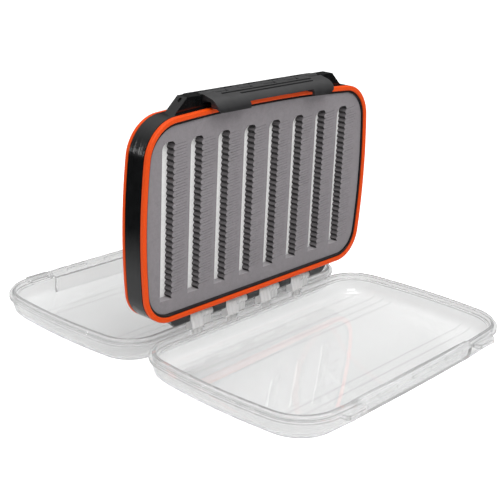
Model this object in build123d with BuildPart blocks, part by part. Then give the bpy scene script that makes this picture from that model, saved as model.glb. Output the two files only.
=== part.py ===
from build123d import *
from math import cos, hypot, radians, sin, sqrt, tan
import os

os.makedirs("parts", exist_ok=True)

# Fly box: an upright two-sided foam panel with a clear lid hinged to each face.
# Both lids stand at rest swung down 90 degrees, flat on the ground.
# Millimetres, +Z up, front lid towards -Y, ground at z = 0.
# Heights on the panel are measured from the hinge axis.

# --- hinge line and overall sizes -------------------------------------------
hinge_height = 19.9        # hinge axis above the ground
rim_level = 5.5            # lid rim plane, measured from the hinge axis
lid_depth = hinge_height - rim_level

# --- panel outline --------------------------------------------------------------
panel_width = 182.6
panel_low = 5.6            # straight bottom edge
panel_tall = 110.1
panel_high = panel_low + panel_tall
side_bow = 4.3             # how far the sides swell at mid height
top_bow = 3.7              # how far the top edge swells at the middle
corner_radius = 18.3       # lower corners
top_corner = 21.6

# --- panel section, measured from the middle plane ------------------------------
body_half = 5.3            # half thickness of the black body at its outer edge
seat_half = 5.8            # seat of the seals
seat_inset = 0.5           # shadow line between body and seal
lip_half = 7.1             # lip between seal and foam
lip_width = 0.6
web_half = 0.5             # half thickness of the wall between the two trays
pocket_lift = 0.85         # wider lip along the bottom edge
pocket_drop = 0.6          # wider lip along the top edge
seal_proud = 2.2           # seal above its seat
seal_width = 2.8
seal_chamfer = 0.55
foot_inset = 0.9           # seal foot, in from the outline
foot_width = 1.4
foot_depth = 1.6
foot_gap = 0.06
base_thickness = 0.5
foam_face = 5.95           # foam stands a little below the lip
foam_gap = 0.08            # foam to tray wall

# --- slots in the foam --------------------------------------------------------
slot_count = 8
slot_pitch = panel_width / 9.13
slot_middle = -3.0         # middle of the slot array, across the panel
slot_width = 8.8
slot_below = 12.0          # foam below the slots, from the panel outline
slot_above = 14.4
slot_low = panel_low + slot_below
slot_high = panel_high - slot_above
slot_shoulder = 4.2        # rounded upper corner, on the smooth side
slot_crown = 2.2           # rounded upper corner, on the toothed side
tooth_count = 27
tooth_height = 1.35        # how far each tooth stands into the slot

# --- hinge --------------------------------------------------------------------
knuckle_radius = 2.4
knuckle_root = 0.5         # necks run this far into the body
stub_radius = 1.2
stub_length = 3.4
socket_depth = 3.9
running_gap = 0.05         # radial, in every bearing
side_gap = 0.3             # along the axis, between neighbours
fixed_knuckles = [(-66.0, -51.0), (-33.0, -23.0), (-5.0, 5.0), (23.0, 33.0), (51.0, 66.0)]
arm_starts = [-51.0, -23.0, 5.0, 33.0]
arm_width = 8.55
end_slope = 4.6            # sloped outer ends of the outermost knuckles

# --- bridge and latch pin --------------------------------------------------------
latch_rise = 3.95
latch_z = panel_high + latch_rise
bridge_half = 3.5
bridge_root = panel_high - 4.0
bridge_foot_x = 67.8
bridge_foot_z = panel_high - 2.8
bridge_top_x = 58.6
bridge_top_z = latch_z + 1.6
saddle_z = latch_z - 3.0   # bridge top between the ears
pin_radius = 1.0
pin_half = 58.9

# --- latch leaf, heights counted from the latch axis -----------------------------
leaf_half = 47.3
leaf_knuckle = 2.25
leaf_knuckles = 10
leaf_start = 4.0           # plate begins this far from the latch axis
leaf_crown = 1.75
leaf_fold_y = 8.6
leaf_fold = 0.55
leaf_bend_y = 12.6         # middle of the rounded shoulder
leaf_bend = -1.55
leaf_face = 14.6
leaf_shoulder = -4.6
leaf_low = -6.4
leaf_wall = 1.8
leaf_inner = -1.4
rib_face = 9.3             # catch rib, nearest to the panel
leaf_cut_start = -22.5     # cut-out in the lower edge
leaf_cut_end = 29.5
leaf_cut = -2.9
leaf_corner = 4.5
groove_depth = 0.8
groove_width = 1.2
groove_rows = [(5.7, -36.0, 36.5), (8.3, -24.5, 35.0)]

# --- lid -------------------------------------------------------------------------
rim_in = 0.5               # rim wall, out from the panel outline
rim_out = 2.5
bead_out = 4.1
bead_near = 7.3            # bead along the wall, from the hinge axis
bead_far = 9.1
wall_thickness = 1.8
wall_draft = 4.0
floor_round = 6.4          # rounded floor edge, in three bands
round_drafts = [18.0, 45.0, 72.0]
ledge_near = 8.2           # inner ledge that meets the seal
ledge_in = 1.2
recess_half = 49.5         # latch recess in the free edge
recess_level = panel_high - 2.9
recess_tall = 20.0         # taller than anything beyond the recess level
rim_flat = latch_z - 2.3   # rim wall under the latch leaf
strip_flat = latch_z - 1.6 # catch strips on it
rim_sink = 0.5             # strips run this far into the rim wall
strips = [(-38.0, -22.5), (-8.0, 8.0), (22.5, 38.0)]
lug_in = 50.5
lug_out = 67.0
lug_root = panel_high - 0.9
lug_tall = 6.8
lug_high = lug_root + lug_tall
lug_floor = 2.5            # solid part between wall and pocket
lug_pocket = lug_root + lug_floor
lug_slope = 1.8            # sloped corners
lug_depth = 2.6
lug_skin = 1.2             # plate over the pocket
lug_wall = 1.3
arm_back = 0.9             # arm towards the other lid
arm_step = 6.5
arm_toe = 1.2
arm_front = 3.9
arm_rim = 4.2
arm_low = 10.2

# Both planes read (across, height when closed); offset = distance from the middle plane.
upright = Plane(origin=(0, 0, hinge_height), x_dir=(1, 0, 0), z_dir=(0, -1, 0))
lying = Plane(origin=(0, 0, hinge_height), x_dir=(1, 0, 0), z_dir=(0, 0, -1))
# Section plane across the width: reads (y, height above the hinge axis).
section = Plane(origin=(0, 0, hinge_height), x_dir=(0, 1, 0), z_dir=(1, 0, 0))

# The same section and the front view, both counted from the latch axis.
latch_section = Plane(origin=(0, 0, hinge_height + latch_z), x_dir=(0, 1, 0), z_dir=(1, 0, 0))
latch_front = Plane(origin=(0, 0, hinge_height + latch_z), x_dir=(1, 0, 0), z_dir=(0, -1, 0))

leaf_step = 2 * leaf_half / leaf_knuckles
tooth_pitch = (slot_high - slot_crown - slot_low) / tooth_count
half_mid = panel_width / 2
half_end = half_mid - side_bow
side_mid = (panel_low + panel_high - top_bow) / 2
side_chord = side_mid - panel_low
side_radius = (side_chord**2 + side_bow**2) / (2 * side_bow)
top_radius = (half_end**2 + top_bow**2) / (2 * top_bow)


def outline(grow, lift=0.0, drop=0.0):
    """The panel outline, every edge moved outwards by grow, the bottom edge up by lift, the top edge down by drop."""
    side_r = side_radius + grow
    top_r = top_radius + grow - drop
    side_x = half_mid - side_radius
    top_z = panel_high - top_radius
    low_z = panel_low - grow + lift
    low_x = side_x + sqrt(side_r**2 - (low_z - side_mid) ** 2)
    # where the side arc meets the top arc
    gap_x = side_x
    gap_z = side_mid - top_z
    gap = hypot(gap_x, gap_z)
    along = (gap**2 + top_r**2 - side_r**2) / (2 * gap)
    across = sqrt(top_r**2 - along**2)
    high_x = (gap_x * along + gap_z * across) / gap
    high_z = top_z + (gap_z * along - gap_x * across) / gap
    with BuildSketch() as face:
        with BuildLine():
            Line((-low_x, low_z), (low_x, low_z))
            ThreePointArc((low_x, low_z), (half_mid + grow, side_mid), (high_x, high_z))
            ThreePointArc((high_x, high_z), (0, panel_high + grow - drop), (-high_x, high_z))
            ThreePointArc((-high_x, high_z), (-half_mid - grow, side_mid), (-low_x, low_z))
        make_face()
        fillet(face.vertices().group_by(Axis.Y)[-1], radius=top_corner + grow)
        fillet(face.vertices().group_by(Axis.Y)[0], radius=corner_radius + grow)
    return face.sketch


# ============================== panel body =======================================
with BuildPart() as frame:
    for half, inset in ((body_half, 0.0), (seat_half, seat_inset), (lip_half, seal_width + foot_gap)):
        with BuildSketch(upright.offset(-half)):
            add(outline(-inset))
        extrude(amount=2 * half)
    # bridge on the top edge
    with BuildSketch(upright.offset(-bridge_half)):
        with BuildLine():
            Polyline(
                (-bridge_foot_x, bridge_root), (bridge_foot_x, bridge_root),
                (bridge_foot_x, bridge_foot_z), (bridge_top_x, bridge_top_z),
                (-bridge_top_x, bridge_top_z), (-bridge_foot_x, bridge_foot_z), close=True,
            )
        make_face()
    extrude(amount=2 * bridge_half)
    # saddle between the ears, under the latch knuckles
    with BuildSketch(upright.offset(-bridge_half)):
        with Locations((0, (saddle_z + bridge_top_z + 1) / 2)):
            Rectangle(2 * (leaf_half + side_gap), bridge_top_z + 1 - saddle_z)
    extrude(amount=2 * bridge_half, mode=Mode.SUBTRACT)
    # bore through both ears
    with BuildSketch(section.offset(-bridge_foot_x)):
        with Locations((0, latch_z)):
            Circle(pin_radius + running_gap / 2)
    extrude(amount=2 * bridge_foot_x, mode=Mode.SUBTRACT)
    # one tray and one seal groove on each face
    for side in (1, -1):
        with BuildSketch(upright.offset(side * web_half)):
            add(outline(-seal_width - lip_width, pocket_lift, pocket_drop))
        extrude(amount=side * (lip_half - web_half), mode=Mode.SUBTRACT)
        with BuildSketch(upright.offset(side * (seat_half - foot_depth))):
            add(outline(-foot_inset))
            add(outline(-foot_inset - foot_width), mode=Mode.SUBTRACT)
        extrude(amount=side * foot_depth, mode=Mode.SUBTRACT)
    # fixed hinge knuckles on necks
    for start, end in fixed_knuckles:
        with BuildSketch(section.offset(start)):
            Circle(knuckle_radius)
            with Locations((0, (panel_low + knuckle_root) / 2)):
                Rectangle(2 * knuckle_radius, panel_low + knuckle_root)
        extrude(amount=end - start)
    # blind sockets for the lid stubs
    for start, end in fixed_knuckles:
        if start > fixed_knuckles[0][0]:
            with BuildSketch(section.offset(start)):
                Circle(stub_radius + running_gap)
            extrude(amount=socket_depth, mode=Mode.SUBTRACT)
        if end < fixed_knuckles[-1][1]:
            with BuildSketch(section.offset(end)):
                Circle(stub_radius + running_gap)
            extrude(amount=-socket_depth, mode=Mode.SUBTRACT)
    # sloped outer ends
    tip = fixed_knuckles[-1][1]
    with BuildSketch(upright.offset(-body_half)):
        for side in (1, -1):
            with BuildLine():
                Polyline(
                    (side * tip, knuckle_radius), (side * tip, -knuckle_radius),
                    (side * (tip - end_slope), -knuckle_radius), close=True,
                )
            make_face()
    extrude(amount=2 * body_half, mode=Mode.SUBTRACT)
frame.part.label = "frame"
export_step(frame.part, "parts/frame.step")

# ============================== seals ============================================
with BuildPart() as front_seal:
    with BuildSketch(upright.offset(seat_half)):
        add(outline(0))
        add(outline(-seal_width), mode=Mode.SUBTRACT)
    extrude(amount=seal_proud)
    chamfer(front_seal.edges().group_by(Axis.Y)[0], length=seal_chamfer)
    with BuildSketch(upright.offset(seat_half)):
        add(outline(-foot_inset - foot_gap))
        add(outline(-foot_inset - foot_width + foot_gap), mode=Mode.SUBTRACT)
    extrude(amount=-(foot_depth - foot_gap))
front_seal.part.label = "front_seal"
export_step(front_seal.part, "parts/front_seal.step")

with BuildPart() as rear_seal:
    add(front_seal.part, rotation=(0, 0, 180))
rear_seal.part.label = "rear_seal"
export_step(rear_seal.part, "parts/rear_seal.step")

# ============================== foam pads =========================================
with BuildPart() as front_foam_base:
    with BuildSketch(upright.offset(web_half)):
        add(outline(-seal_width - lip_width - foam_gap, pocket_lift, pocket_drop))
    extrude(amount=base_thickness)
front_foam_base.part.label = "front_foam_base"
export_step(front_foam_base.part, "parts/front_foam_base.step")

with BuildPart() as rear_foam_base:
    add(front_foam_base.part, rotation=(0, 0, 180))
rear_foam_base.part.label = "rear_foam_base"
export_step(rear_foam_base.part, "parts/rear_foam_base.step")

with BuildPart() as front_foam:
    with BuildSketch(upright.offset(web_half + base_thickness)):
        add(outline(-seal_width - lip_width - foam_gap, pocket_lift, pocket_drop))
    extrude(amount=foam_face - web_half - base_thickness)
    for index in range(slot_count):
        across = slot_middle + (index - (slot_count - 1) / 2) * slot_pitch
        smooth = across - slot_width / 2
        root = across + slot_width / 2
        saw = [(smooth, slot_high - slot_shoulder), (smooth, slot_low), (root, slot_low)]
        for tooth in range(tooth_count):
            saw.append((root - tooth_height, slot_low + (tooth + 0.5) * tooth_pitch))
            saw.append((root, slot_low + (tooth + 1) * tooth_pitch))
        saw_top = slot_high - slot_crown
        with BuildSketch(upright.offset(web_half + base_thickness)):
            with BuildLine():
                Polyline(*saw)
                RadiusArc((root, saw_top), (root - slot_crown, slot_high), -slot_crown)
                Line((root - slot_crown, slot_high), (smooth + slot_shoulder, slot_high))
                RadiusArc((smooth + slot_shoulder, slot_high), saw[0], -slot_shoulder)
            make_face()
        extrude(amount=foam_face - web_half - base_thickness, mode=Mode.SUBTRACT)
front_foam.part.label = "front_foam"
export_step(front_foam.part, "parts/front_foam.step")

with BuildPart() as rear_foam:
    add(front_foam.part, rotation=(0, 0, 180))
rear_foam.part.label = "rear_foam"
export_step(rear_foam.part, "parts/rear_foam.step")

# ============================== lids ==============================================
def moulded_levels(grow, depth, rounding):
    """(grow, level) down a drafted lid wall and round its floor edge."""
    level = rim_level
    rows = [(grow, level)]
    wall = depth - rounding
    grow -= wall * tan(radians(wall_draft))
    level += wall
    rows.append((grow, level))
    reach = rounding / sum(cos(radians(draft)) for draft in round_drafts)
    for draft in round_drafts:
        grow -= reach * sin(radians(draft))
        level += reach * cos(radians(draft))
        rows.append((grow, level))
    return rows


# Hollow of the lid, kept clear of the latch recess in the free edge.
with BuildPart() as lid_hollow:
    for grow, level in moulded_levels(rim_in, lid_depth - wall_thickness, floor_round - wall_thickness):
        with BuildSketch(lying.offset(level)):
            add(outline(grow))
    loft(ruled=True)
    with BuildSketch(lying.offset(ledge_near)):
        with Locations((0, recess_level - wall_thickness + recess_tall / 2)):
            Rectangle(2 * (recess_half + wall_thickness), recess_tall)
    extrude(amount=lid_depth, mode=Mode.SUBTRACT)

with BuildPart() as front_lid:
    # drafted shell with a rounded floor edge
    for grow, level in moulded_levels(rim_out, lid_depth, floor_round):
        with BuildSketch(lying.offset(level)):
            add(outline(grow))
    loft(ruled=True)
    # latch recess, beyond the bead
    with BuildSketch(lying.offset(bead_far)):
        with Locations((0, recess_level + recess_tall / 2)):
            Rectangle(2 * recess_half, recess_tall)
    extrude(amount=lid_depth, mode=Mode.SUBTRACT)
    # upright rim band
    with BuildSketch(lying.offset(rim_level)):
        add(outline(rim_out))
    extrude(amount=bead_far - rim_level)
    # outer bead
    with BuildSketch(lying.offset(bead_near)):
        add(outline(bead_out))
    extrude(amount=bead_far - bead_near)
    # rim cut flat under the latch leaf, with catch strips left on it
    with BuildSketch(lying.offset(rim_level)):
        with Locations((0, rim_flat + recess_tall / 2)):
            Rectangle(2 * recess_half, recess_tall)
    extrude(amount=bead_far - rim_level, mode=Mode.SUBTRACT)
    with BuildSketch(lying.offset(bead_near)):
        for start, end in strips:
            with Locations(((start + end) / 2, (rim_flat - rim_sink + strip_flat) / 2)):
                Rectangle(end - start, strip_flat - rim_flat + rim_sink)
    extrude(amount=bead_far - bead_near)
    # hollow
    add(lid_hollow.part, mode=Mode.SUBTRACT)
    # inner ledge facing the seal
    with BuildSketch(lying.offset(ledge_near)):
        add(outline((rim_in + rim_out) / 2))
        add(outline(-ledge_in), mode=Mode.SUBTRACT)
    extrude(amount=bead_far - ledge_near)
    # two lugs beside the latch recess, each with a pocket
    for side in (1, -1):
        with BuildSketch(lying.offset(bead_near)):
            with BuildLine():
                Polyline(
                    (side * lug_in, lug_root), (side * lug_out, lug_root), (side * lug_out, lug_high - lug_slope),
                    (side * (lug_out - lug_slope), lug_high), (side * (lug_in + lug_slope), lug_high),
                    (side * lug_in, lug_high - lug_slope), close=True,
                )
            make_face()
        extrude(amount=lug_depth)
        with BuildSketch(lying.offset(bead_near + lug_skin)):
            with Locations((side * (lug_in + lug_out) / 2, (lug_pocket + lug_high - lug_wall) / 2)):
                Rectangle(lug_out - lug_in - 2 * lug_slope, lug_high - lug_wall - lug_pocket)
        extrude(amount=lug_depth, mode=Mode.SUBTRACT)
    # hinge arms, each with a stub on one side
    for start in arm_starts:
        with BuildSketch(section.offset(start + side_gap)):
            with BuildLine():
                Polyline(
                    (arm_back, 0), (arm_back, -arm_step), (-arm_toe, -arm_low), (-arm_front, -arm_low),
                    (-arm_rim, -rim_level), (-knuckle_radius, 0), close=True,
                )
            make_face()
            Circle(knuckle_radius)
        extrude(amount=arm_width)
        with BuildSketch(section.offset(start + side_gap)):
            Circle(stub_radius)
        extrude(amount=-(side_gap + stub_length))
front_lid.part.label = "front_lid"
export_step(front_lid.part, "parts/front_lid.step")

with BuildPart() as rear_lid:
    add(front_lid.part, rotation=(0, 0, 180))
rear_lid.part.label = "rear_lid"
export_step(rear_lid.part, "parts/rear_lid.step")

# ============================== latch leaves =======================================
with BuildPart() as front_latch:
    with BuildSketch(latch_section.offset(-leaf_half)):
        with BuildLine():
            Line((-leaf_start, leaf_crown), (-leaf_fold_y, leaf_fold))
            ThreePointArc((-leaf_fold_y, leaf_fold), (-leaf_bend_y, leaf_bend), (-leaf_face, leaf_shoulder))
            Polyline(
                (-leaf_face, leaf_shoulder), (-leaf_face, leaf_low), (-leaf_face + leaf_wall, leaf_low),
                (-leaf_face + leaf_wall, leaf_shoulder), (-rib_face, leaf_shoulder),
                (-rib_face, leaf_inner), (-leaf_start, leaf_inner), (-leaf_start, leaf_crown),
            )
        make_face()
    extrude(amount=2 * leaf_half)
    # knuckles, every second place along the pin
    for index in range(0, leaf_knuckles, 2):
        with BuildSketch(latch_section.offset(-leaf_half + index * leaf_step + side_gap / 2)):
            Circle(leaf_knuckle)
            with Locations((-leaf_start / 2, (leaf_inner + leaf_crown) / 2)):
                Rectangle(leaf_start, leaf_crown - leaf_inner)
        extrude(amount=leaf_step - side_gap)
    # rounded lower corners and the cut-out between the legs
    with BuildSketch(latch_front.offset(-leaf_face)) as leaf_shape:
        with Locations((0, (leaf_low + leaf_face) / 2)):
            Rectangle(2 * leaf_half, leaf_face - leaf_low)
        fillet(leaf_shape.vertices().group_by(Axis.Z)[0], radius=leaf_corner)
        with Locations(((leaf_cut_start + leaf_cut_end) / 2, (leaf_low + leaf_cut) / 2)):
            Rectangle(leaf_cut_end - leaf_cut_start, leaf_cut - leaf_low, mode=Mode.SUBTRACT)
    extrude(amount=3 * leaf_face, mode=Mode.INTERSECT)
    # bore for the pin
    with BuildSketch(latch_section.offset(-leaf_half)):
        Circle(pin_radius + running_gap)
    extrude(amount=2 * leaf_half, mode=Mode.SUBTRACT)
    # grip grooves on the top slope
    for row_y, start, end in groove_rows:
        slope_drop = (row_y - leaf_start) / (leaf_fold_y - leaf_start) * (leaf_crown - leaf_fold)
        with BuildSketch(Plane.XY.offset(hinge_height + latch_z + leaf_crown - slope_drop - groove_depth)):
            with Locations(((start + end) / 2, -row_y)):
                Rectangle(end - start, groove_width)
        extrude(amount=2 * groove_depth, mode=Mode.SUBTRACT)
front_latch.part.label = "front_latch"
export_step(front_latch.part, "parts/front_latch.step")

with BuildPart() as rear_latch:
    add(front_latch.part, rotation=(0, 0, 180))
rear_latch.part.label = "rear_latch"
export_step(rear_latch.part, "parts/rear_latch.step")

# ============================== latch pin ===========================================
with BuildPart() as latch_pin:
    with BuildSketch(section.offset(-pin_half)):
        with Locations((0, latch_z)):
            Circle(pin_radius)
    extrude(amount=2 * pin_half)
latch_pin.part.label = "latch_pin"
export_step(latch_pin.part, "parts/latch_pin.step")
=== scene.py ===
# %% [markdown]
# # A two-sided fly box, dressed for the camera
#
# The solids of this fly box come from its CAD model: a black upright panel with an
# orange seal and a slotted foam pad on each face, and a clear lid folded down on each
# side. This lesson gives each of those pieces its real surface: softened moulding
# edges, fine cuts in the foam, clear plastic that shows its thickness, and soft light.

import math

import bmesh
import bpy
from mathutils import Matrix, Vector


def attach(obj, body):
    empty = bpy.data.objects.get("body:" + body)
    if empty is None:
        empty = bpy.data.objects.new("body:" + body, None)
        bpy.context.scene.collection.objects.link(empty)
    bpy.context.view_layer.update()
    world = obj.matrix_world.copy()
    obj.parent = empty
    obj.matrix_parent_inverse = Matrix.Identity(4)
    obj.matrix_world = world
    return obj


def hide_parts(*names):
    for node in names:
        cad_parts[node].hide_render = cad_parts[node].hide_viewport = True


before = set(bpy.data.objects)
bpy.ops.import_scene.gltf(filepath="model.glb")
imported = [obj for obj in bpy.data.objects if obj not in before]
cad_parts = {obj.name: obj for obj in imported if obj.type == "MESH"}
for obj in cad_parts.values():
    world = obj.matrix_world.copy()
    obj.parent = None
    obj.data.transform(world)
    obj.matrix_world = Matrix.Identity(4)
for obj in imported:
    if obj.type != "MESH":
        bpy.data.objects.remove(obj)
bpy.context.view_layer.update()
MM = 0.001
print("nodes:", sorted(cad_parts))

# %% [markdown]
# ## Sizes that the dressing shares with the solids
#
# The hinge line stands a little above the ground and every height on the panel is
# counted from it. Keeping these few numbers in one place means the foam cuts meet the
# teeth of the slots, and the camera looks at the right point.

# %% Shared sizes, in millimetres
HINGE_HEIGHT = 19.9
FOAM_FACE = 5.95
SLOT_PITCH = 20.0
SLOT_MIDDLE = -3.0
SLOT_WIDTH = 8.8
SLOT_LOW = 17.6
SLOT_HIGH = 101.3
TEETH_HIGH = 99.1
SLOTS = 8
TEETH = 27

# %% [markdown]
# ## Camera
#
# The box is seen from the front left, a little from above, with a longish lens, as
# small products are usually shown. The camera is placed by its direction and distance
# from a point low on the panel, then rolled slightly.

# %% Place the camera
PICTURE = 500           # pixels across
LENS_PIXELS = 1098.36   # focal length in pixels of that picture
AZIMUTH, ELEVATION, ROLL = -48.96, 19.14, 2.53
DISTANCE = 0.61669      # metres
AIM = Vector((-2.1, 0.0, 27.26 + HINGE_HEIGHT)) * MM

azimuth, elevation, roll = (math.radians(a) for a in (AZIMUTH, ELEVATION, ROLL))
back = Vector((
    math.sin(azimuth) * math.cos(elevation),
    -math.cos(azimuth) * math.cos(elevation),
    math.sin(elevation),
))
right = Vector((math.cos(azimuth), math.sin(azimuth), 0.0))
up = back.cross(right)
right_rolled = right * math.cos(roll) + up * math.sin(roll)
up_rolled = up * math.cos(roll) - right * math.sin(roll)

camera_data = bpy.data.cameras.new("camera")
camera = bpy.data.objects.new("camera", camera_data)
bpy.context.scene.collection.objects.link(camera)
turn = Matrix((right_rolled, up_rolled, back)).transposed()
camera.matrix_world = Matrix.Translation(AIM + back * DISTANCE) @ turn.to_4x4()
camera_data.lens = LENS_PIXELS * camera_data.sensor_width / PICTURE
camera_data.clip_start = 0.01
camera_data.clip_end = 20
bpy.context.scene.camera = camera
print("camera lens", round(camera_data.lens, 1), "mm")

# %% [markdown]
# ## Helpers for materials
#
# Colours are written as the sRGB hex values a paint chart would give, and one function
# turns them to the linear values the shader needs. One more adds a node with its
# settings and its links, and small ones on top of it make the noise, ranges, bumps and
# colours that every material shares, so that each one below reads as a short recipe.

# %% Colour and node helpers
def linear(code):
    """An sRGB hex colour, such as '8A8687', as linear red, green, blue and alpha."""
    parts = [int(code[i:i + 2], 16) / 255 for i in (0, 2, 4)]
    return tuple(c / 12.92 if c <= 0.04045 else ((c + 0.055) / 1.055) ** 2.4 for c in parts) + (1.0,)


def plug(material, node, links):
    """Links outputs of other nodes to the named inputs of a node."""
    for name, source in links.items():
        material.node_tree.links.new(source, node.inputs[name])


def add(material, kind, values=None, links=None, **settings):
    """A node of that kind: settings are its properties, values its inputs' numbers, links its incoming links."""
    node = material.node_tree.nodes.new(kind)
    for name, value in settings.items():
        setattr(node, name, value)
    for name, value in (values or {}).items():
        node.inputs[name].default_value = value
    plug(material, node, links or {})
    return node


def surface(name, values):
    """A new material with one Principled BSDF, the shader itself, and its Object coordinates."""
    material = bpy.data.materials.new(name)
    material.use_nodes = True
    shader = material.node_tree.nodes["Principled BSDF"]
    for socket, value in values.items():
        shader.inputs[socket].default_value = value
    place = add(material, "ShaderNodeTexCoord")
    return material, shader, place.outputs["Object"]


def noise(material, where, scale, detail, **more):
    """The value of a noise texture: scale counts its waves per metre."""
    node = add(material, "ShaderNodeTexNoise", {"Scale": scale, "Detail": detail, **more}, {"Vector": where})
    return node.outputs["Fac"]


def between(material, value, low, high, start=0.0, end=1.0):
    """A value that runs from low to high as the other runs from start to end."""
    node = add(material, "ShaderNodeMapRange",
               {"From Min": start, "From Max": end, "To Min": low, "To Max": high}, {"Value": value})
    return node.outputs["Result"]


def bump(material, height, strength, depth, below=None):
    """A bump of that depth in metres, on top of the bump below it."""
    links = {"Height": height}
    if below is not None:
        links["Normal"] = below
    node = add(material, "ShaderNodeBump", {"Strength": strength, "Distance": depth}, links)
    return node.outputs["Normal"]


def colours(material, value, stops):
    """A colour that follows a value through (position, hex) stops."""
    node = add(material, "ShaderNodeValToRGB", links={"Fac": value})
    ramp = node.color_ramp
    while len(ramp.elements) < len(stops):
        ramp.elements.new(0.5)
    for element, (position, code) in zip(ramp.elements, stops):
        element.position = position
        element.color = linear(code)
    return node.outputs["Color"]


def steps(material, operation, values=None, links=None):
    """The result of one Math node."""
    return add(material, "ShaderNodeMath", values, links, operation=operation).outputs[0]


# %% [markdown]
# ## Black ABS, injection moulded
#
# The frame comes from a polished mould, so it is glossy, with a very slight waviness
# where the plastic shrank as it cooled and fine lines that follow the wall, where the
# mould was polished by hand. The latch leaves come from a spark-eroded mould: its fine
# pitting makes them satin and a little greyer, and hides finger marks. The narrow lip
# that holds the seal gets painted shade: a rougher, darker black, a dead black line.

# %% Black ABS: two finishes, and painted shade for the lip
HAZE_SCALE = 220.0                    # patches of about 5 mm, where the gloss varies
POLISH_SCALE = (18.0, 700.0, 18.0)    # lines 1.4 mm apart, drawn out along the wall
POLISH_DEPTH = 0.0001


def moulded_abs(name, dark, pale, gloss, grain, strength, depth, polish=0.25):
    """Black ABS: two colours, the roughness range, the mould's grain as a bump, and the polish lines' strength."""
    material, shader, where = surface(name, {"IOR": 1.53})
    haze = noise(material, where, HAZE_SCALE, 4.0)
    swell = bump(material, noise(material, where, grain, 1.0), strength, depth)
    drawn_out = add(material, "ShaderNodeMapping", {"Scale": POLISH_SCALE}, {"Vector": where})
    lines = noise(material, drawn_out.outputs["Vector"], 1.0, 2.0)
    plug(material, shader, {
        "Base Color": colours(material, haze, [(0.35, dark), (0.7, pale)]),
        "Roughness": between(material, haze, *gloss, start=0.3, end=0.7),
        "Normal": bump(material, lines, polish, POLISH_DEPTH, swell),
    })
    return material


black_abs = moulded_abs("black ABS, polished mould", "0C0D0E", "121314", (0.12, 0.18), 45.0, 0.08, 0.0006, 0.8)
# painted shade: the lip between seal and pad is darker and rougher than the frame
lip_painted_shade = moulded_abs("black ABS, lip, painted shade", "060606", "0A0A0A", (0.6, 0.7), 2500.0, 0.2, 0.00003)
satin_abs = moulded_abs("black ABS, spark-eroded mould", "242425", "2C2C2D", (0.42, 0.5), 2500.0, 0.2, 0.00003)
print("black finishes and shade:", black_abs.name, "/", lip_painted_shade.name, "/", satin_abs.name)

# %% [markdown]
# ## Orange silicone, moulded
#
# The seals are soft silicone rubber. Silicone takes a matt skin from its mould, so the
# colour is strong and even and the highlight is broad and weak.

# %% Orange silicone
orange_silicone, shader, where = surface("orange silicone, moulded", {"IOR": 1.41, "Specular IOR Level": 0.3})
skin = noise(orange_silicone, where, 900.0, 3.0)   # about 1 mm
plug(orange_silicone, shader, {
    "Base Color": colours(orange_silicone, skin, [(0.3, "DE4600"), (0.75, "E64C02")]),
    "Roughness": between(orange_silicone, skin, 0.42, 0.55),
    "Normal": bump(orange_silicone, skin, 0.12, 0.0001),
})
print("seal:", orange_silicone.name)

# %% [markdown]
# ## EVA foam, skived
#
# The pads are closed-cell EVA foam, sliced from a block. The cut opens cells of about
# 0.3 mm, which is too fine to count at this distance, so they show as a faint mottle
# and a dry, matt surface. The grey top pad and the white sheet behind it are the same
# foam in two colours. The die that stamps the slots squeezes the cells shut, so the
# toothed walls are darker than the skived face. The undersides of the teeth get painted
# shade, a much darker tone, because the soft light here would otherwise fill them in.
# The up-facing sill at the bottom of each slot gets a painted highlight: a paler tone.

# %% EVA foam
CELL = 0.0006     # cells of 0.3 mm, drawn at 0.6 mm so that they show
CLOUDS = 320.0    # a mottle of about 3 mm


def eva_foam(name, dark, pale):
    """EVA foam between two colours: open cells over a faint mottle."""
    material, shader, where = surface(name, {"IOR": 1.3, "Roughness": 0.92, "Specular IOR Level": 0.2,
                                             "Sheen Weight": 0.05, "Sheen Roughness": 0.6})
    cells = add(material, "ShaderNodeTexVoronoi", {"Scale": 1 / CELL}, {"Vector": where})
    clouds = noise(material, where, CLOUDS, 6.0, Roughness=0.7)
    faint = steps(material, "MULTIPLY", {1: 0.35}, {0: cells.outputs["Distance"]})
    both = steps(material, "ADD", links={0: faint, 1: clouds})
    plug(material, shader, {
        "Base Color": colours(material, both, [(0.3, dark), (0.85, pale)]),
        "Normal": bump(material, both, 0.25, 0.00012),
    })
    return material


grey_foam = eva_foam("grey EVA foam, skived", "7D797C", "898588")
cut_foam = eva_foam("grey EVA foam, die-cut wall", "625F61", "726F71")
# painted shade: the undersides of the teeth, much darker than the wall
underside_painted_shade = eva_foam("grey EVA foam, tooth underside, painted shade", "2C2A2B", "383637")
# painted highlight: the up-facing sill at each slot's bottom, paler than the pad
sill_painted_highlight = eva_foam("grey EVA foam, sill, painted highlight", "9A9699", "A6A2A5")
white_foam = eva_foam("white EVA foam, skived", "E9E9E8", "F6F6F5")
print("foams:", [m.name for m in (grey_foam, cut_foam, underside_painted_shade, sill_painted_highlight, white_foam)])

# %% [markdown]
# ## Clear polycarbonate, injection moulded
#
# The lids are clear polycarbonate, about two millimetres thick. Refraction is what
# draws the lid: light bends at every edge and turns the rim dark, while the flat floor
# almost disappears. The plastic's index is about 1.58. A lower one, with a weaker
# gloss, is chosen here, for pale rims and faint reflections in this plain light.
# The lid's shadow is let through, because a clear tray darkens the table only at its
# edges. Faint straight lines run along each lid's floor. They are taken to be joints of
# the mould, so they are drawn as a tint and have no height. The hinge arms are taken to
# come from a textured, ribbed part of the mould, so they are frosted and look whiter
# than the rest.

# %% Clear polycarbonate
FLOOR_LINES = (14.2, 24.6, 31.0, 37.2, 86.2, 92.8)   # mm from the hinge line
LINE_HALF = 0.18
FLOOR_SKIN = 2.6      # the lines lie below this height
RIB_SCALE = 105.0     # one rib in 3 mm

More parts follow.
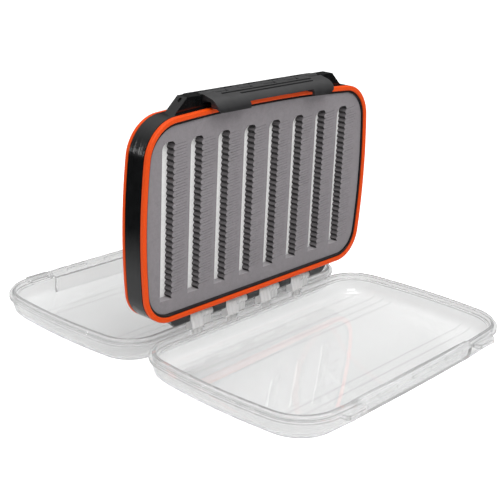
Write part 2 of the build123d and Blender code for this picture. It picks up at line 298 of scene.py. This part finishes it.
clear_pc, shader, where = surface("clear polycarbonate, moulded", {
    "IOR": 1.47, "Transmission Weight": 0.84, "Specular IOR Level": 0.3})
axes = add(clear_pc, "ShaderNodeSeparateXYZ", links={0: where})
away = steps(clear_pc, "ABSOLUTE", links={0: axes.outputs["Y"]})
on_line = None
for line in FLOOR_LINES:
    joint = steps(clear_pc, "COMPARE", {1: line * MM, 2: LINE_HALF * MM}, {0: away})
    on_line = steps(clear_pc, "MAXIMUM", links={0: on_line, 1: joint}) if on_line is not None else joint
low = steps(clear_pc, "LESS_THAN", {1: FLOOR_SKIN * MM}, {0: axes.outputs["Z"]})
on_floor = steps(clear_pc, "MULTIPLY", links={0: on_line, 1: low})
plug(clear_pc, shader, {
    "Base Color": colours(clear_pc, on_floor, [(0.0, "F6F6F6"), (1.0, "D0D0D0")]),
    "Roughness": between(clear_pc, noise(clear_pc, where, 30.0, 3.0), 0.0, 0.02),
})
path = add(clear_pc, "ShaderNodeLightPath")
glow = add(clear_pc, "ShaderNodeBsdfTransparent", {"Color": linear("E9EBEB")})
shadow = add(clear_pc, "ShaderNodeMixShader", links={
    0: path.outputs["Is Shadow Ray"], 1: shader.outputs["BSDF"], 2: glow.outputs["BSDF"]})
plug(clear_pc, clear_pc.node_tree.nodes["Material Output"], {"Surface": shadow.outputs["Shader"]})

frosted_pc, shader, where = surface("clear polycarbonate, textured mould", {
    "Base Color": linear("FAFAFA"), "IOR": 1.45, "Transmission Weight": 0.35})
pits = noise(frosted_pc, where, 700.0, 3.0)
ribs = add(frosted_pc, "ShaderNodeTexWave", {"Scale": RIB_SCALE, "Distortion": 0.4, "Detail": 1.0},
           {"Vector": where})
plug(frosted_pc, shader, {
    "Roughness": between(frosted_pc, pits, 0.08, 0.3),
    "Normal": bump(frosted_pc, ribs.outputs["Fac"], 0.7, 0.0005, bump(frosted_pc, pits, 0.3, 0.0002)),
})
print("plastics:", clear_pc.name, "/", frosted_pc.name, "with", len(FLOOR_LINES), "floor lines")

# %% [markdown]
# ## Drawn steel wire
#
# The latch pin is cut from drawn stainless wire. The die leaves fine lines along the
# wire, which stretch its highlight lengthways.

# %% Drawn steel
drawn_steel, shader, where = surface("stainless steel, drawn", {"Metallic": 1.0, "Base Color": linear("B9B8B4")})
along = add(drawn_steel, "ShaderNodeMapping", {"Scale": (40.0, 9000.0, 9000.0)}, {"Vector": where})
lines = noise(drawn_steel, along.outputs["Vector"], 1.0, 2.0)
plug(drawn_steel, shader, {"Roughness": between(drawn_steel, lines, 0.25, 0.42)})
print("pin:", drawn_steel.name)

# %% [markdown]
# ## Moulded pieces
#
# No moulded edge is sharp: the tool that cuts the mould has a radius, and the plastic
# rounds off a little more. Each solid is copied, its loose triangles are joined into
# whole faces again, and a bevel a fraction of a millimetre wide catches the light
# along the edges. Faces that meet at a shallow angle are shaded as one curve.

# %% Joined copies with softened edges
def joined_copy(node, name):
    """A bmesh-cleaned copy of a solid: doubles merged and flat faces made whole."""
    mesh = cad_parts[node].data.copy()
    mesh.name = name
    shape = bmesh.new()
    shape.from_mesh(mesh)
    bmesh.ops.remove_doubles(shape, verts=shape.verts, dist=2e-6)
    bmesh.ops.dissolve_limit(shape, angle_limit=math.radians(0.6), use_dissolve_boundaries=False,
                             verts=shape.verts, edges=shape.edges)
    shape.to_mesh(mesh)
    shape.free()
    mesh.materials.clear()
    piece = bpy.data.objects.new(name, mesh)
    bpy.context.scene.collection.objects.link(piece)
    return piece


def shade_by_angle(piece, degrees):
    """Smooth faces, with edges sharper than the angle kept sharp."""
    shape = bmesh.new()
    shape.from_mesh(piece.data)
    limit = math.radians(degrees)
    for face in shape.faces:
        face.smooth = True
    for edge in shape.edges:
        edge.smooth = edge.is_manifold and edge.calc_face_angle(math.pi) < limit
    shape.to_mesh(piece.data)
    shape.free()


def soften(piece, width, segments=2, degrees=30):
    """A bevel modifier on the edges sharper than the angle."""
    bevel = piece.modifiers.new("soft edges", "BEVEL")
    bevel.width = width * MM
    bevel.segments = segments
    bevel.profile = 0.5
    bevel.limit_method = "ANGLE"
    bevel.angle_limit = math.radians(degrees)
    bevel.harden_normals = True
    bevel.use_clamp_overlap = True
    return bevel


def dress(node, name, body, slot_name, material, width, degrees=30):
    """A softened copy that stands for a solid and moves with its body."""
    piece = joined_copy(node, name)
    shade_by_angle(piece, degrees)
    if width:
        soften(piece, width, degrees=degrees)
    piece.data.materials.append(material)
    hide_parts(node)
    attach(piece, body)
    print(name, len(piece.data.polygons), "faces before softening")
    return piece


DRESSED = (
    ("frame", "panel_frame", "panel", "black_plastic", black_abs, 0.22),
    ("front_seal", "seal_front", "panel", "orange_silicone", orange_silicone, 0.3),
    ("rear_seal", "seal_rear", "panel", "orange_silicone", orange_silicone, 0.3),
    ("front_latch", "latch_leaf_front", "front_latch_body", "black_plastic", satin_abs, 0.2),
    ("rear_latch", "latch_leaf_rear", "rear_latch_body", "black_plastic", satin_abs, 0.2),
    ("front_lid", "lid_front", "front_lid_body", "clear_plastic", clear_pc, 0.1),
    ("rear_lid", "lid_rear", "rear_lid_body", "clear_plastic", clear_pc, 0.1),
    ("latch_pin", "latch_pin_wire", "panel", "steel_pin", drawn_steel, 0.12),
)
pieces = {row[0]: dress(*row) for row in DRESSED}

# %% [markdown]
# ## Second finishes, and painted shade on the lip
#
# A mould often has more than one finish. Two groups of faces get another material: the
# hinge arms of the lids, which are frosted, and the narrow lip between each seal and its
# foam pad, which gets painted shade. Each group is picked by where its faces lie, and both
# lids use the front lid's numbers, because the rear one is the same moulding turned half way round.

# %% Arms and lip
ARM_STARTS, ARM_WIDTH, ARM_REACH, ARM_FOOT = (-51.0, -23.0, 5.0, 33.0), 8.55, 4.4, 9.6
ARM_ROOM = 0.1      # play at an arm's ends
LIP_NEAR, LIP_FOOT, LIP_TOP, LIP_REACH = 5.4, 6.0, 115.6, 90.5


def on_arm(x, y, z):
    """Whether a point of the front lid, in millimetres, belongs to one of its hinge arms."""
    along_hinge = any(start - ARM_ROOM < x < start + ARM_WIDTH + ARM_ROOM for start in ARM_STARTS)
    return abs(y) < ARM_REACH and z > ARM_FOOT and along_hinge


def on_lip(x, y, z):
    """Whether a point of the frame, in millimetres, belongs to the lip round a foam pad."""
    return abs(y) > LIP_NEAR and LIP_FOOT < z - HINGE_HEIGHT < LIP_TOP and abs(x) < LIP_REACH


def second_material(piece, material, chosen, way=1):
    """Gives the faces whose centres are chosen the second material."""
    piece.data.materials.append(material)
    for face in piece.data.polygons:
        x, y, z = face.center / MM
        face.material_index = int(chosen(way * x, way * y, z))
    print(piece.name, sum(face.material_index for face in piece.data.polygons), "faces with", material.name)


second_material(pieces["front_lid"], frosted_pc, on_arm)
second_material(pieces["rear_lid"], frosted_pc, on_arm, way=-1)
# the lip's faces get their painted shade
second_material(pieces["frame"], lip_painted_shade, on_lip)

# %% [markdown]
# ## Foam pads
#
# A fly is pushed sideways out of the slot into a fine cut that starts at the root of
# each tooth, with one more cut between two roots. The knife that makes the cuts removes
# nothing, so they show only as thin dark lines, open near the slot. Each pad starts as
# the joined copy of its solid. The crests of its teeth are rounded, as the soft foam
# springs back from the die, and a Boolean takes thin wedges out of it. The wedges are
# one small cube, split and tapered and then repeated.

# %% Pads with fine cuts
CUT_LENGTH, CUT_OPEN, CUT_DEPTH = 8.4, 0.2, 4.4
NOTCH_LENGTH, NOTCH_OPEN = 0.8, 0.45
CUT_OVERLAP = 0.2   # how far a wedge starts outside the foam
CUT_RISE = 0.09     # radians: the knife climbs a little away from the slot
BETWEEN = 1.3       # the cut between two others starts this much further in
CREST_ROUND = 0.9
SLOTS_REACH = 84    # the slots lie within this distance of the middle


def unit_wedge():
    """One wedge in a unit cube: a short open notch on the side of the slot, then a long thin cut."""
    shape = bmesh.new()
    bmesh.ops.create_cube(shape, size=1.0)
    lengthways = [edge for edge in shape.edges if abs(edge.verts[0].co.x - edge.verts[1].co.x) > 0.5]
    bmesh.ops.subdivide_edges(shape, edges=lengthways, cuts=1)
    for vert in shape.verts:
        if abs(vert.co.x) < 0.1:
            vert.co.x = NOTCH_LENGTH / CUT_LENGTH - 0.5
        else:
            vert.co.z *= NOTCH_OPEN / CUT_OPEN if vert.co.x < 0 else 0.8
    mesh = bpy.data.meshes.new("unit_wedge")
    shape.to_mesh(mesh)
    shape.free()
    return mesh


def cut_wedges(name):
    """All the wedges for one pad, as they stand on the front face; each opens a little differently."""
    shape = bmesh.new()
    wedge = unit_wedge()
    pitch = (TEETH_HIGH - SLOT_LOW) / TEETH
    for slot in range(SLOTS):
        wall = SLOT_MIDDLE + (slot - (SLOTS - 1) / 2) * SLOT_PITCH + SLOT_WIDTH / 2
        for half in range(2, 2 * TEETH + 1):
            tooth = half / 2
            chance = math.sin(half * 12.9898 + slot * 78.233) * 43758.5453 % 1.0
            first = len(shape.verts)
            shape.from_mesh(wedge)
            shape.verts.ensure_lookup_table()
            made = shape.verts[first:]
            bmesh.ops.scale(shape, verts=made, vec=(
                CUT_LENGTH * (0.9 + 0.1 * chance), CUT_DEPTH, CUT_OPEN * (0.5 + 0.5 * chance)))
            rise = CUT_RISE + 0.03 * (chance - 0.5)
            bmesh.ops.rotate(shape, verts=made, matrix=Matrix.Rotation(-rise, 3, "Y"))
            bmesh.ops.translate(shape, verts=made, vec=(
                wall - CUT_OVERLAP + CUT_LENGTH / 2 + BETWEEN * (half % 2),
                CUT_DEPTH / 2 - FOAM_FACE - CUT_OVERLAP,
                HINGE_HEIGHT + SLOT_LOW + tooth * pitch + rise * CUT_LENGTH / 2))
    bmesh.ops.scale(shape, verts=shape.verts, vec=(MM, MM, MM))
    mesh = bpy.data.meshes.new(name)
    shape.to_mesh(mesh)
    shape.free()
    return mesh


def round_crests(piece):
    """Rounds the crest of every tooth: the edge where an upper and a lower flank meet outwards."""
    shape = bmesh.new()
    shape.from_mesh(piece.data)
    crests = [edge for edge in shape.edges if edge.is_manifold and edge.is_convex
              and abs(edge.verts[0].co.y - edge.verts[1].co.y) > 0.003
              and edge.link_faces[0].normal.z * edge.link_faces[1].normal.z < -0.2]
    bmesh.ops.bevel(shape, geom=crests, offset=CREST_ROUND * MM, offset_type="OFFSET", segments=4,
                    profile=0.5, affect="EDGES")
    shape.to_mesh(piece.data)
    shape.free()
    print(piece.name, len(crests), "crests rounded")


def take_away(piece, wedges):
    """Cuts a mesh out of a piece with a Boolean, and keeps the result as the piece's own mesh."""
    cutter = bpy.data.objects.new(piece.name + "_cutter", wedges)
    bpy.context.scene.collection.objects.link(cutter)
    cut = piece.modifiers.new("fine cuts", "BOOLEAN")
    cut.operation = "DIFFERENCE"
    cut.solver = "EXACT"
    cut.object = cutter
    bpy.context.view_layer.update()
    ready = bpy.data.meshes.new_from_object(piece.evaluated_get(bpy.context.evaluated_depsgraph_get()))
    piece.modifiers.clear()
    piece.data = ready
    bpy.data.objects.remove(cutter)


def foam_finish(face, way):
    """Which of the pad's materials a face gets: skived, cut wall, painted shade under a tooth, or painted
    highlight on the sill.
    """
    height = face.center.z / MM - HINGE_HEIGHT
    stamped = SLOT_LOW + 0.3 < height < SLOT_HIGH + 0.1 and abs(face.center.x / MM) < SLOTS_REACH
    smooth_side = way * face.normal.x > 0.3
    if stamped and abs(face.normal.y) < 0.5 and not smooth_side:
        # painted shade on the undersides of the teeth (2), the wall's own tone elsewhere (1)
        return 2 if face.normal.z < -0.1 else 1
    # painted highlight on the up-facing sill at each slot's bottom (3)
    if face.normal.z > 0.9 and abs(height - SLOT_LOW) < 0.2:
        return 3
    return 0


def foam_pad(node, name, way):
    """One pad, way 1 at the front and -1 at the rear: the joined solid, its teeth rounded, less its fine cuts."""
    piece = joined_copy(node, name)
    round_crests(piece)
    wedges = cut_wedges(name + "_cuts")
    if way < 0:
        wedges.transform(Matrix.Rotation(math.pi, 4, "Z"))
    take_away(piece, wedges)
    piece.data.materials.clear()
    for material in (grey_foam, cut_foam, underside_painted_shade, sill_painted_highlight):
        piece.data.materials.append(material)
    for face in piece.data.polygons:
        face.material_index = foam_finish(face, way)
    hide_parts(node)
    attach(piece, "panel")
    print(name, len(piece.data.polygons), "faces with its cuts")


foam_pad("front_foam", "foam_pad_front", 1)
foam_pad("rear_foam", "foam_pad_rear", -1)
for node, name in (("front_foam_base", "foam_sheet_front"), ("rear_foam_base", "foam_sheet_rear")):
    base = dress(node, name, "panel", "white_foam", white_foam, 0)

# %% [markdown]
# ## Floor and backdrop
#
# A plain pale floor runs out of sight on all sides. It is a matt white. The camera sees
# it lifted to plain white, while its shading still keeps the soft shadow of the box.
# The gloss of the box sees a lit sheet under it that fades with distance, and the clear
# plastic lets through a part of the plain white.

# %% Floor
SEEN_THROUGH = 0.2              # the part of the plain white that rays through the plastic see
FLOOR_RADIUS, FLOOR_DROP = 6.0, 0.0002
SHEET_NEAR, SHEET_FAR = 0.18, 0.3   # metres: where the lit sheet starts to fade, and where it ends


def by_ray(material, lit, mirrored, seen):
    """One output of three: what lights, what gloss mirrors, and what the camera sees, in part through plastic."""
    rays = add(material, "ShaderNodeLightPath").outputs
    through = steps(material, "MULTIPLY", {1: SEEN_THROUGH}, {0: rays["Is Transmission Ray"]})
    straight = steps(material, "MAXIMUM", links={0: rays["Is Camera Ray"], 1: through})
    gloss = add(material, "ShaderNodeMixShader", links={0: rays["Is Glossy Ray"], 1: lit, 2: mirrored})
    whole = add(material, "ShaderNodeMixShader", links={0: straight, 1: gloss.outputs[0], 2: seen})
    return whole.outputs[0]


shape = bmesh.new()
bmesh.ops.create_circle(shape, cap_ends=True, segments=64, radius=FLOOR_RADIUS)
bmesh.ops.translate(shape, verts=shape.verts, vec=(0, 0, -FLOOR_DROP))
floor_mesh = bpy.data.meshes.new("floor")
shape.to_mesh(floor_mesh)
shape.free()
floor = bpy.data.objects.new("floor", floor_mesh)
bpy.context.scene.collection.objects.link(floor)
floor_white, shader, where = surface("floor, matt white", {
    "Base Color": linear("F4F4F4"), "Roughness": 0.9, "Specular IOR Level": 0.1})
reach = add(floor_white, "ShaderNodeVectorMath", links={0: where}, operation="LENGTH").outputs["Value"]
sheet = add(floor_white, "ShaderNodeEmission", links={
    "Strength": between(floor_white, reach, 0.73, 0.03, SHEET_NEAR, SHEET_FAR)})
lift = add(floor_white, "ShaderNodeEmission", links={"Strength": between(floor_white, reach, 0.42, 1.1, 0.6, 2.0)})
lifted = add(floor_white, "ShaderNodeAddShader", links={0: shader.outputs["BSDF"], 1: lift.outputs[0]})
whole = by_ray(floor_white, shader.outputs["BSDF"], sheet.outputs[0], lifted.outputs[0])
plug(floor_white, floor_white.node_tree.nodes["Material Output"], {"Surface": whole})
floor_mesh.materials.append(floor_white)
print("floor", 2 * FLOOR_RADIUS, "m across")

# %% [markdown]
# ## Light
#
# The world gives an even white from every side, as a light tent does, but the gloss of
# the black plastic mirrors a dome that is bright only overhead, so upright walls stay
# dark. A large soft lamp in front and one overhead add direction, and a tall narrow
# strip at the left rear draws the highlight at the black corner.

# %% World and lamps
WHITE = (1, 1, 1, 1)
world = bpy.data.worlds.new("studio")
world.use_nodes = True
bpy.context.scene.world = world
world.node_tree.nodes.clear()
around = add(world, "ShaderNodeTexCoord")
height = add(world, "ShaderNodeSeparateXYZ", links={0: around.outputs["Generated"]})
lit = add(world, "ShaderNodeBackground", {"Strength": 0.5, "Color": WHITE})
dome = add(world, "ShaderNodeBackground", {"Color": WHITE},
           {"Strength": between(world, height.outputs["Z"], 0.05, 1.0, 0.3, 0.95)})
plain = add(world, "ShaderNodeBackground", {"Strength": 1.0, "Color": WHITE})
whole = by_ray(world, lit.outputs[0], dome.outputs[0], plain.outputs[0])
add(world, "ShaderNodeOutputWorld", links={"Surface": whole})


def soft_lamp(name, place, aim, size, power):
    """A rectangular area lamp at place, turned to aim; its size in metres, its power in watts."""
    data = bpy.data.lights.new(name, "AREA")
    data.shape = "RECTANGLE"
    data.size, data.size_y = size
    data.energy = power
    lamp = bpy.data.objects.new(name, data)
    lamp.location = place
    lamp.rotation_euler = (Vector(aim) - Vector(place)).to_track_quat("-Z", "Y").to_euler()
    bpy.context.scene.collection.objects.link(lamp)
    print("lamp", name, power, "W")


soft_lamp("key", (-0.35, -0.9, 1.0), (0, 0, 0.07), (0.7, 0.7), 8.0)
soft_lamp("side strip", (-0.8, 0.66, 0.5), (0, 0, 0.1), (0.02, 0.65), 0.9)
soft_lamp("top", (0.1, 0.0, 1.2), (0, 0, 0.07), (0.8, 0.8), 7.0)

# %% [markdown]
# ## Picture settings
#
# The Standard view keeps colours as written.

# %% Finish
bpy.context.scene.view_settings.view_transform = "Standard"
